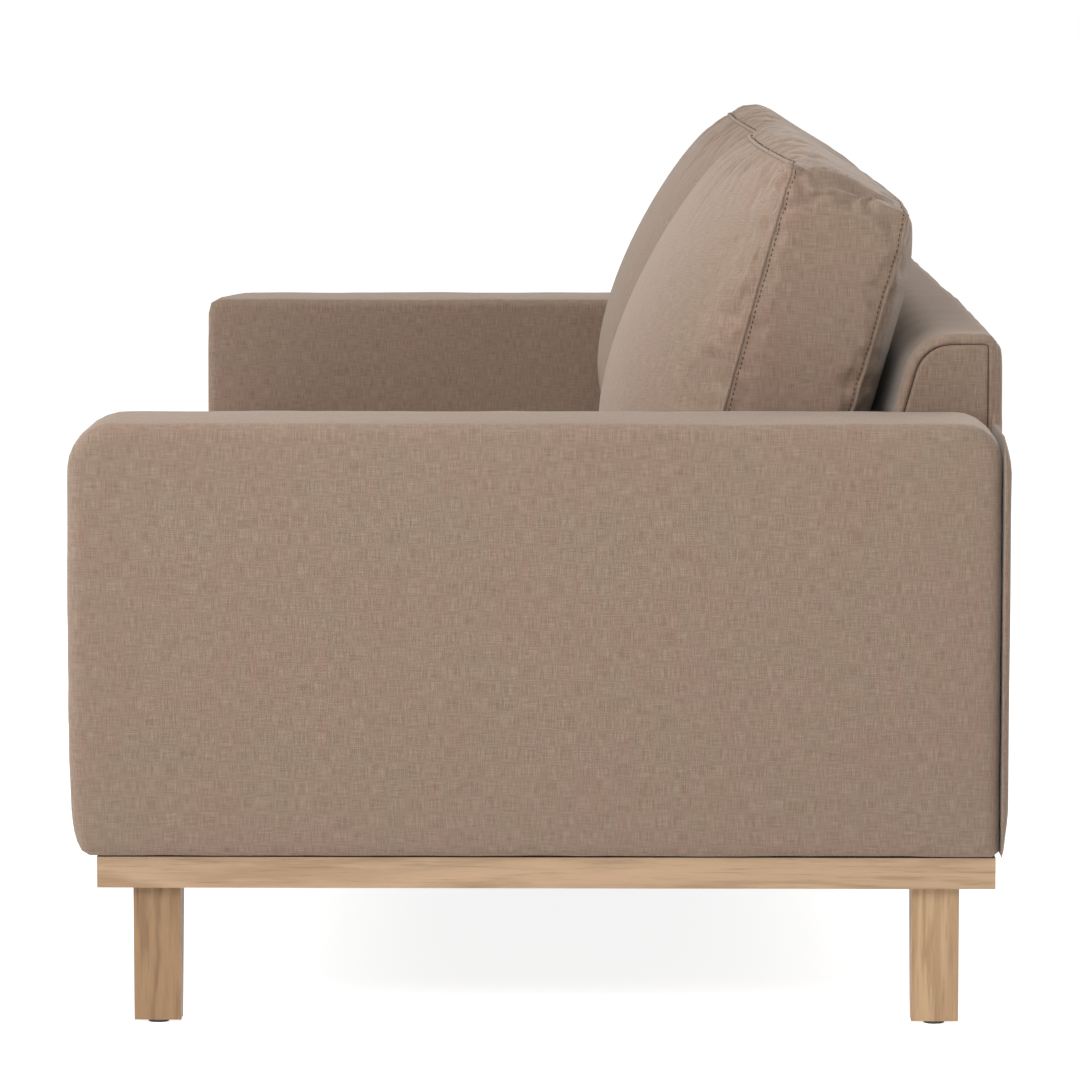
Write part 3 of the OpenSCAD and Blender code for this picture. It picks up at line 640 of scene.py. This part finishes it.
def stitches(name, surface, path, centre, pitch, shift, length=0.0032, r=0.00055):
    """A row of short stitches on the surface, moved from a seam towards a centre point's plane."""
    tree = BVHTree.FromPolygons([v.co for v in surface.data.vertices],
                                [tuple(f.vertices) for f in surface.data.polygons])
    line = resample(path, pitch)
    along = np.roll(line, -1, axis=0) - np.roll(line, 1, axis=0)
    points, faces = [], []
    for k in range(len(line)):
        t = Vector(along[k]).normalized()
        spot, normal, _, _ = tree.find_nearest(Vector(line[k]) + centre(Vector(line[k])) * shift)
        if spot is None:
            continue
        side = normal.cross(t).normalized()
        base = len(points)
        for s, w in ((-0.5, 0.3), (-0.3, 1.0), (0.3, 1.0), (0.5, 0.3)):
            for a in range(6):
                c, d = math.cos(a * math.pi / 3), math.sin(a * math.pi / 3)
                points.append(spot + t * s * length + side * c * r * w + normal * (d * r * w + 0.0001))
        faces += [tuple(base + i for i in f) for f in stitch_rings(4, 6)]
        faces += [tuple(base + i for i in range(6)), tuple(base + 18 + i for i in range(6))]
    return make_object(name, points, faces)


def welt(name, surface, path, r, flat):
    """The raised ridge of a felled seam, lying on the surface along its seam line."""
    tree = BVHTree.FromPolygons([v.co for v in surface.data.vertices],
                                [tuple(f.vertices) for f in surface.data.polygons])
    line = resample(path, 0.005)
    placed = []
    for p in line:
        spot, normal, _, _ = tree.find_nearest(Vector(p))
        placed.append(spot + normal * (0.25 * r))
    placed = np.array(placed)
    for _ in range(2):
        placed = (np.roll(placed, 1, axis=0) + 2 * placed + np.roll(placed, -1, axis=0)) / 4
    return tube(name, placed, r, closed=True, sides=8, flat=flat, up=(0.3, 0.2, 0.9))


def finish_cushion(obj, matrix, pieces):
    for piece in [obj, *pieces]:
        piece.data.transform(matrix)
        piece.data.update()


def back_cushion(side):
    word = "left" if side < 0 else "right"
    half = CUSHION_W / 2 - 0.006
    seams = back_seams(half)

    def spine(yz):
        return np.column_stack([np.full(len(yz), 0.05), np.clip(yz[:, 1], 0.06, 0.38)])
    obj = loft(f"back_cushion_{word}", back_section, half, 84, 0.004, spine)
    inflate(obj, seams, 0.006, 2.5, 0.035, 0.006)
    subdivided(obj)
    gathers(obj, seams, 60 + side, 0.0030, 0.030, 0.034)
    spots = (back_corners(1)["ft"], back_corners(1)["fb"])
    corner_folds(obj, [(s * half, y, z) for s in (-1, 1) for y, z in spots], side, 0.0038, 0.075)
    corner_folds(obj, [(s * half, 0.031, 0.426) for s in (-1, 1)], side + 5, 0.0055, 0.030)
    set_coords(obj, keep_back_clear(coords(obj)))

    def inwards(p):
        return Vector((0, 1 if p.y < 0.05 else -1, 0))
    parts = []
    for k, (seam, label) in enumerate(zip(seams, ("front", "rear"))):
        parts.append(welt(f"back_cushion_{word}_{label}_seam", obj, seam, 0.0021, 0.8))
        parts.append(stitches(f"back_cushion_{word}_{label}_stitches", obj, seam, inwards, 0.0052, 0.0052))
    finish_cushion(obj, on_back() @ Matrix.Translation((side * CUSHION_X, 0, 0)), parts)
    return obj, parts


def seat_cushion(side):
    word = "left" if side < 0 else "right"
    half = CUSHION_W / 2 - 0.005
    seams = seat_seams(half)

    def spine(yz):
        return np.column_stack([np.clip(yz[:, 0], 0.07, SEAT_D_LOCAL - 0.07), np.full(len(yz), SEAT_T / 2)])
    obj = loft(f"seat_cushion_{word}", seat_section, half, 84, 0.0035, spine)
    inflate(obj, seams, 0.009, 2.0, 0.015, 0.004)
    subdivided(obj)
    gathers(obj, seams, 80 + side, 0.0014, 0.020, 0.040)
    set_coords(obj, keep_seat_clear(coords(obj)))

    def inwards(p):
        return Vector((0, 0, -1 if p.z > SEAT_T / 2 else 1))
    parts = []
    for seam, label in zip(seams, ("upper", "lower")):
        parts.append(welt(f"seat_cushion_{word}_{label}_seam", obj, seam, 0.0019, 0.8))
        parts.append(stitches(f"seat_cushion_{word}_{label}_stitches", obj, seam, inwards, 0.0052, 0.0052))
    finish_cushion(obj, on_seat() @ Matrix.Translation((side * CUSHION_X, 0, 0)), parts)
    return obj, parts


# ---------- materials ----------

class Nodes:
    """A short way to write a material's nodes."""

    def __init__(self, name):
        self.material = bpy.data.materials.new(name)
        self.material.use_nodes = True
        self.tree = self.material.node_tree
        self.shader = self.tree.nodes["Principled BSDF"]

    def add(self, kind, inputs=None, **settings):
        n = self.tree.nodes.new(kind)
        for key, value in settings.items():
            setattr(n, key, value)
        for key, value in (inputs or {}).items():
            self.put(n.inputs[key], value)
        return n

    def put(self, socket, value):
        if isinstance(value, bpy.types.NodeSocket):
            self.tree.links.new(value, socket)
        else:
            socket.default_value = value

    def math(self, operation, *values):
        n = self.add("ShaderNodeMath", operation=operation)
        for k, value in enumerate(values):
            self.put(n.inputs[k], value)
        return n.outputs[0]

    def noise(self, vector, scale, detail=2.0, rough=0.5):
        n = self.add("ShaderNodeTexNoise",
                     {"Vector": vector, "Scale": scale, "Detail": detail, "Roughness": rough})
        return n.outputs["Fac"]

    def scaled(self, vector, factors):
        n = self.add("ShaderNodeVectorMath", {0: vector, 1: factors}, operation="MULTIPLY")
        return n.outputs[0]

    def blend(self, fac, a, b, mode="MIX"):
        n = self.add("ShaderNodeMix", data_type="RGBA", blend_type=mode)
        self.put(n.inputs[0], fac)
        self.put(n.inputs[6], a)
        self.put(n.inputs[7], b)
        return n.outputs[2]

    def ramp(self, fac, stops):
        n = self.add("ShaderNodeValToRGB", {"Fac": fac})
        ramp = n.color_ramp
        while len(ramp.elements) < len(stops):
            ramp.elements.new(0.5)
        for element, (at, colour) in zip(ramp.elements, stops):
            element.position = at
            element.color = colour
        return n.outputs["Color"]

    def map(self, value, a, b, c, d):
        n = self.add("ShaderNodeMapRange",
                     {"Value": value, "From Min": a, "From Max": b, "To Min": c, "To Max": d})
        return n.outputs[0]

    def bump(self, height, distance, strength=1.0, normal=None):
        n = self.add("ShaderNodeBump", {"Height": height, "Distance": distance, "Strength": strength})
        if normal is not None:
            self.put(n.inputs["Normal"], normal)
        return n.outputs["Normal"]

    def flat_uv(self):
        """Two coordinates in metres along the surface, chosen by the way that it faces."""
        tc = self.add("ShaderNodeTexCoord")
        p = self.add("ShaderNodeSeparateXYZ", {0: tc.outputs["Object"]})
        n = self.add("ShaderNodeSeparateXYZ", {0: tc.outputs["Normal"]})
        ax, ay, az = (self.math("ABSOLUTE", n.outputs[k]) for k in range(3))
        mx = self.math("GREATER_THAN", ax, self.math("MAXIMUM", ay, az))
        my = self.math("MULTIPLY", self.math("SUBTRACT", 1.0, mx), self.math("GREATER_THAN", ay, az))
        u = self.math("ADD", self.math("MULTIPLY", p.outputs[0], self.math("SUBTRACT", 1.0, mx)),
                      self.math("MULTIPLY", p.outputs[1], mx))
        up = self.math("ADD", mx, my)
        v = self.math("ADD", self.math("MULTIPLY", p.outputs[2], up),
                      self.math("MULTIPLY", p.outputs[1], self.math("SUBTRACT", 1.0, up)))
        return tc.outputs["Object"], u, v


def srgb(r, g, b, gain=1.0):
    def linear(c):
        c /= 255
        return (c / 12.92 if c <= 0.04045 else ((c + 0.055) / 1.055) ** 2.4) * gain
    return (linear(r), linear(g), linear(b), 1.0)


def linen(name, gain=1.0, thread=0.0011):
    """Plain-woven fabric of mixed yarns: slubs along both threads, soft mottling, and a fine weave."""
    m = Nodes(name)
    p, u, v = m.flat_uv()
    drift = m.noise(p, 14.0, 1.0)
    shift = m.math("MULTIPLY", m.math("SUBTRACT", drift, 0.5), 0.006)
    u2, v2 = m.math("ADD", u, shift), m.math("SUBTRACT", v, shift)
    flat = m.add("ShaderNodeCombineXYZ", {0: u2, 1: v2, 2: 0.0}).outputs[0]
    warp = m.noise(m.scaled(flat, (1 / 0.0009, 1 / 0.016, 1.0)), 1.0, 2.0, 0.6)
    weft = m.noise(m.scaled(flat, (1 / 0.018, 1 / 0.0009, 1.0)), 1.0, 2.0, 0.6)
    yarn = m.math("ADD", m.math("MULTIPLY", warp, 0.55), m.math("MULTIPLY", weft, 0.45))
    cloudy = m.noise(p, 9.0, 3.0, 0.55)
    patch = m.noise(m.scaled(flat, (120.0, 16.0, 1.0)), 1.0, 2.0, 0.5)
    tone = m.ramp(yarn, [(0.34, srgb(140, 117, 100, gain)), (0.50, srgb(160, 137, 120, gain)),
                         (0.66, srgb(180, 158, 141, gain))])
    mottle = m.math("ADD", m.math("MULTIPLY", cloudy, 0.5), m.math("MULTIPLY", patch, 0.5))
    hue = m.map(mottle, 0.38, 0.62, 0.0, 1.0)
    pink = m.blend(hue, srgb(254, 247, 247), srgb(250, 252, 248))
    colour = m.blend(1.0, tone, pink, "MULTIPLY")
    m.put(m.shader.inputs["Base Color"], colour)
    m.shader.inputs["Roughness"].default_value = 0.92
    m.shader.inputs["Specular IOR Level"].default_value = 0.22
    m.shader.inputs["Sheen Weight"].default_value = 0.20
    m.shader.inputs["Sheen Roughness"].default_value = 0.45
    m.shader.inputs["Sheen Tint"].default_value = (1.0, 0.93, 0.85, 1.0)
    turn = math.pi / thread
    over = m.math("SINE", m.math("MULTIPLY", u2, turn))
    under = m.math("SINE", m.math("MULTIPLY", v2, turn))
    weave = m.math("MULTIPLY", over, under)
    height = m.math("ADD", m.math("MULTIPLY", weave, 0.25), m.math("MULTIPLY", yarn, 0.9))
    m.put(m.shader.inputs["Normal"], m.bump(height, 0.0004, 0.55))
    return m.material


def wood(name, axis, light, dark):
    """Planed, oiled wood with long fine grain along one axis."""
    m = Nodes(name)
    tc = m.add("ShaderNodeTexCoord").outputs["Object"]
    along, across = 2.2, 26.0
    factors = [across, across, across]
    factors[axis] = along
    grain_space = m.scaled(tc, tuple(factors))
    bend = m.noise(grain_space, 0.7, 2.0)
    rings = m.noise(grain_space, 2.3, 5.0, 0.62)
    wave = m.math("SINE", m.math("MULTIPLY", m.math("ADD", bend, m.math("MULTIPLY", rings, 0.35)), 46.0))
    fine = tuple(f * 22 if k != axis else f * 9 for k, f in enumerate(factors))
    pores = m.noise(m.scaled(tc, fine), 1.0, 3.0, 0.6)
    fac = m.math("ADD", m.map(wave, -1.0, 1.0, 0.0, 0.34), m.math("MULTIPLY", rings, 0.66))
    pale = tuple(min(1.0, c * 1.14) for c in light[:3]) + (1.0,)
    colour = m.ramp(fac, [(0.22, dark), (0.48, light), (0.78, pale)])
    speck = m.map(pores, 0.30, 0.46, 0.80, 1.0)
    tint = m.add("ShaderNodeCombineColor", {0: speck, 1: speck, 2: speck}).outputs[0]
    colour = m.blend(1.0, colour, tint, "MULTIPLY")
    m.put(m.shader.inputs["Base Color"], colour)
    m.put(m.shader.inputs["Roughness"], m.map(fac, 0.2, 0.8, 0.56, 0.44))
    m.shader.inputs["Specular IOR Level"].default_value = 0.35
    m.put(m.shader.inputs["Normal"], m.bump(m.math("ADD", fac, pores), 0.0004, 0.35))
    return m.material


def metal(name, colour, rough):
    m = Nodes(name)
    tc = m.add("ShaderNodeTexCoord").outputs["Object"]
    n = m.noise(tc, 240.0, 3.0, 0.6)
    m.put(m.shader.inputs["Base Color"], m.ramp(n, [(0.3, tuple(c * 0.86 for c in colour) + (1.0,)),
                                                    (0.7, colour + (1.0,))]))
    m.shader.inputs["Metallic"].default_value = 1.0
    m.put(m.shader.inputs["Roughness"], m.map(n, 0.3, 0.7, rough * 0.8, rough * 1.25))
    m.put(m.shader.inputs["Normal"], m.bump(n, 0.0002, 0.3))
    return m.material


def fibrous(name, light, dark, scale, height):
    """Felt, board or non-woven fabric: short tangled fibres."""
    m = Nodes(name)
    tc = m.add("ShaderNodeTexCoord").outputs["Object"]
    a, b = m.noise(tc, scale, 5.0, 0.7), m.noise(tc, scale * 0.08, 2.0)
    fac = m.math("ADD", m.math("MULTIPLY", a, 0.7), m.math("MULTIPLY", b, 0.3))
    m.put(m.shader.inputs["Base Color"], m.ramp(fac, [(0.35, dark), (0.65, light)]))
    m.shader.inputs["Roughness"].default_value = 0.95
    m.shader.inputs["Specular IOR Level"].default_value = 0.2
    m.put(m.shader.inputs["Normal"], m.bump(a, height, 0.8))
    return m.material


LINEN = linen("linen", 0.51)
# Dark thread for the stitches; on the backrest's end seam lines the same dark colour is painted shade of
# the seam groove.
THREAD_AND_GROOVE_SHADE = fibrous("thread_and_groove_shade", srgb(96, 76, 62, 0.6), srgb(70, 54, 44, 0.6), 1500.0, 0.0001)
OAK = (srgb(196, 163, 129, 0.55), srgb(180, 145, 111, 0.55))
PINE = (srgb(214, 186, 142, 0.6), srgb(184, 148, 102, 0.6))
MATERIALS = {
    "oak_x": wood("oak_along_x", 0, *OAK), "oak_y": wood("oak_along_y", 1, *OAK),
    "leg_front": wood("oak_leg_front", 2, srgb(174, 137, 100, 0.52), srgb(148, 111, 77, 0.52)),
    "leg_rear": wood("oak_leg_rear", 2, srgb(188, 155, 118, 0.66), srgb(164, 128, 92, 0.66)),
    "pine_x": wood("pine_along_x", 0, *PINE), "pine_y": wood("pine_along_y", 1, *PINE),
    "pine_z": wood("pine_along_z", 2, *PINE),
    "bolt": metal("zinc_plated_steel", (0.62, 0.63, 0.65), 0.32),
    "spring": metal("spring_wire", (0.30, 0.30, 0.31), 0.38),
    "zip_metal": metal("zip_brass", (0.48, 0.40, 0.28), 0.34),
    "felt": fibrous("felt", srgb(92, 88, 84), srgb(58, 55, 52), 900.0, 0.0006),
    "board": fibrous("hardboard", srgb(146, 108, 74), srgb(112, 80, 52), 700.0, 0.0002),
    "band": fibrous("webbing", srgb(86, 84, 82), srgb(52, 50, 50), 800.0, 0.0004),
    "lining": fibrous("black_lining", srgb(46, 45, 44), srgb(26, 26, 26), 1100.0, 0.0002),
    "tape": fibrous("zip_tape", srgb(112, 94, 81), srgb(88, 73, 62), 1200.0, 0.0002),
    "foam": fibrous("foam", srgb(232, 224, 200), srgb(206, 196, 170), 500.0, 0.0008),
}


def longest_axis(name):
    low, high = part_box(name)
    size = list(high - low)
    return size.index(max(size))


def cad_material(name):
    """The material of a CAD node that stays in view."""
    if name.startswith("leg_bolts") or name in ("base_bolts", "arm_bolts"):
        return "bolt"
    if name == "leg_glides":
        return "felt"
    if name.startswith("leg_"):
        return name.rsplit("_", 1)[0]
    if name.startswith("base_rail"):
        return "oak_" + "xyz"[longest_axis(name)]
    if name in ("seat_springs", "spring_clips"):
        return "spring"
    if name.endswith("zip_slider"):
        return "zip_metal"
    if name.endswith("_panels"):
        return "board"
    if name == "back_webbing":
        return "band"
    if name.endswith(("_foam", "_core")):
        return "foam"
    if name.endswith("_zip"):
        return "tape"
    if name.endswith(("_cover", "seat_deck", "rear_panel")):
        return "lining"
    return "pine_" + "xyz"[longest_axis(name)]


def dress_cad_nodes():
    bevels = {"leg_front": 0.0016, "leg_rear": 0.0016, "oak_x": 0.0014, "oak_y": 0.0014}
    for name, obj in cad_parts.items():
        kind = cad_material(name)
        obj.data.materials.clear()
        obj.data.materials.append(MATERIALS[kind])
        if kind in bevels:
            weld = obj.modifiers.new("weld", "WELD")
            weld.merge_threshold = 0.00001
            bevel = obj.modifiers.new("worn_edges", "BEVEL")
            bevel.width = bevels[kind]
            bevel.segments = 3
            bevel.limit_method = "ANGLE"
            bevel.angle_limit = math.radians(40)
            bevel.harden_normals = False


# ---------- putting it together ----------

def paint(obj, material):
    obj.data.materials.clear()
    obj.data.materials.append(material)


def place(obj, body, slot, material, *replaced, fill=None):
    paint(obj, material)
    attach(obj, body)
    if replaced:
        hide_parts(*replaced)


def seat_deck_pad():
    low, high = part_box("seat_deck")
    length = (high.y - low.y) / math.cos(SEAT_RAKE)
    start = (low.y - SEAT_FRONT_Y) / math.cos(SEAT_RAKE)
    half = high.x - 0.001
    line = [(-half, start), (half, start), (half, start + length), (-half, start + length)]
    deck = pillow("seat_deck_pad", line, 2, -0.0150, -0.0002,
                  (edge_profile(0.003, 4), edge_profile(0.004, 5)), (0.0, 0.0), step=0.02, wall_step=0.004)
    deck.data.transform(on_seat())
    return deck


def dust_sheet():
    """Thin lining stapled under the seat, sagging slightly."""
    low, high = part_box("dust_cover")
    nx, ny, sag = 60, 28, 0.004
    points = []
    for j in range(ny + 1):
        for i in range(nx + 1):
            s, t = i / nx, j / ny
            z = low.z - sag * math.sin(math.pi * s) ** 0.5 * math.sin(math.pi * t) ** 0.5
            points.append((low.x + s * (high.x - low.x), low.y + t * (high.y - low.y), z))
    faces = [(j * (nx + 1) + i, j * (nx + 1) + i + 1, (j + 1) * (nx + 1) + i + 1, (j + 1) * (nx + 1) + i)
             for j in range(ny) for i in range(nx)]
    return make_object("dust_sheet", points, faces), (high.x - low.x, high.y - low.y)


def zip_closure(name, matrix):
    """Woven tape with two rows of moulded teeth, on a flat rear face that looks along +Y."""
    half, tape, teeth_w, pitch = ZIP_L / 2, 0.012, 0.0030, 0.003
    points, faces = [], []

    def box(x0, x1, y0, y1, z0, z1):
        b = len(points)
        points.extend([(x, y, z) for x in (x0, x1) for y in (y0, y1) for z in (z0, z1)])
        faces.extend([tuple(b + i for i in f) for f in
                      ((0, 1, 3, 2), (4, 6, 7, 5), (0, 4, 5, 1), (2, 3, 7, 6), (0, 2, 6, 4), (1, 5, 7, 3))])
    count = 60
    for k in range(count):
        x0, x1 = -half + k * ZIP_L / count, -half + (k + 1) * ZIP_L / count
        for z0, z1 in ((-tape, 0.0), (0.0, tape)):
            box(x0, x1, -0.0018, -0.0001, z0, z1)
    x = -half + 0.005
    side = 1
    while x < half - 0.005 - pitch:
        z0, z1 = (-0.0006, teeth_w) if side > 0 else (-teeth_w, 0.0006)
        box(x, x + pitch * 0.45, -0.0002, 0.0008, z0, z1)
        x += pitch / 2
        side = -side
    zipped = make_object(name, points, faces)
    zipped.data.transform(matrix)
    for f in zipped.data.polygons:
        f.use_smooth = False
    return zipped


for side, word in ((-1, "left"), (1, "right")):
    place(arm_upholstery(side), "sofa_body", "linen", LINEN,
          f"arm_{word}_cover", f"arm_{word}_foam", fill=0.9)
    # The backrest end seam lines: thread whose dark colour is painted shade of the seam groove.
    place(backrest_end_seam_shade(side), "sofa_body", "linen", THREAD_AND_GROOVE_SHADE)

place(backrest_upholstery(), "sofa_body", "linen", LINEN, "backrest_cover", "backrest_foam", fill=0.9)
place(rear_panel_upholstery(), "sofa_body", "linen", LINEN, "rear_panel", fill=0.8)
place(front_rail_upholstery(), "sofa_body", "linen", LINEN, "front_rail_cover", fill=0.8)
place(seat_deck_pad(), "sofa_body", "deck_felt", MATERIALS["lining"], "seat_deck", fill=0.9)
lining, lining_size = dust_sheet()
place(lining, "sofa_body", "deck_felt", MATERIALS["lining"], "dust_cover")

for side, word in ((-1, "left"), (1, "right")):
    for kind, maker, frame_of, spot in (
        ("seat", seat_cushion, on_seat, (side * CUSHION_X, SEAT_D_LOCAL, SEAT_T / 2)),
        ("back", back_cushion, on_back, (side * CUSHION_X, BACK_REAR, BACK_ZIP_H)),
    ):
        body = f"{kind}_cushion_{word}"
        cushion, trim = maker(side)
        cushion.name = f"{kind}_cushion_{word}_upholstery"
        place(cushion, body, "linen", LINEN, f"{body}_cover", f"{body}_core", fill=0.7)
        for part in trim:
            place(part, body, "linen", THREAD_AND_GROOVE_SHADE if "stitches" in part.name else LINEN)
        zipped = zip_closure(f"{body}_zip_closure", frame_of() @ Matrix.Translation(spot))
        place(zipped, body, "zip_tape", MATERIALS["tape"], f"{body}_zip")

dress_cad_nodes()


# ---------- camera, light and floor ----------

def look(obj, at):
    obj.rotation_euler = (Vector(at) - obj.location).to_track_quat("-Z", "Y").to_euler()


def add_light(name, location, at, size, energy, colour=(1, 1, 1)):
    data = bpy.data.lights.new(name, "AREA")
    data.shape = "RECTANGLE"
    data.size, data.size_y = size
    data.energy = energy
    data.color = colour
    obj = bpy.data.objects.new(name, data)
    bpy.context.scene.collection.objects.link(obj)
    obj.location = location
    look(obj, at)
    return obj


camera_data = bpy.data.cameras.new("camera")
camera_data.lens = 171.8
camera_data.sensor_width = 36.0
camera_data.clip_end = 200.0
camera = bpy.data.objects.new("camera", camera_data)
bpy.context.scene.collection.objects.link(camera)
camera.location = (5.838, 0.050, 1.013)
look(camera, (0.99, 0.001, 0.4696))
bpy.context.scene.camera = camera

add_light("front", (1.4, -3.2, 2.3), (0.4, -0.1, 0.5), (2.6, 2.0), 138.0)
add_light("side", (2.7, -0.15, 2.0), (0.9, 0.05, 0.5), (1.4, 1.4), 53.0)
add_light("fill", (-2.4, 3.0, 2.1), (-0.2, 0.2, 0.4), (2.4, 1.8), 85.0)
add_light("top", (-0.2, 0.2, 3.4), (0.0, 0.0, 0.4), (3.0, 2.0), 34.0)

world = bpy.data.worlds.new("studio")
world.use_nodes = True
sky = world.node_tree.nodes
direction = sky.new("ShaderNodeTexCoord")
height = sky.new("ShaderNodeSeparateXYZ")
fade = sky.new("ShaderNodeMapRange")
for socket, value in zip(("From Min", "From Max", "To Min", "To Max"), (0.03, 0.30, 1.0, 0.33)):
    fade.inputs[socket].default_value = value
world.node_tree.links.new(direction.outputs["Generated"], height.inputs[0])
world.node_tree.links.new(height.outputs[2], fade.inputs["Value"])
world.node_tree.links.new(fade.outputs[0], sky["Background"].inputs["Strength"])
sky["Background"].inputs["Color"].default_value = (1.0, 1.0, 1.0, 1.0)
bpy.context.scene.world = world
bpy.context.scene.view_settings.view_transform = "Standard"

floor_half = 60.0
floor = make_object("floor", [(-floor_half, -floor_half, 0), (floor_half, -floor_half, 0),
                              (floor_half, floor_half, 0), (-floor_half, floor_half, 0)], [(0, 1, 2, 3)])
floor_nodes = Nodes("pale_floor")
floor_nodes.shader.inputs["Base Color"].default_value = (0.5, 0.5, 0.5, 1.0)
floor_nodes.shader.inputs["Emission Color"].default_value = (1.0, 1.0, 1.0, 1.0)
floor_nodes.shader.inputs["Emission Strength"].default_value = 0.86
floor_nodes.shader.inputs["Roughness"].default_value = 0.9
paint(floor, floor_nodes.material)
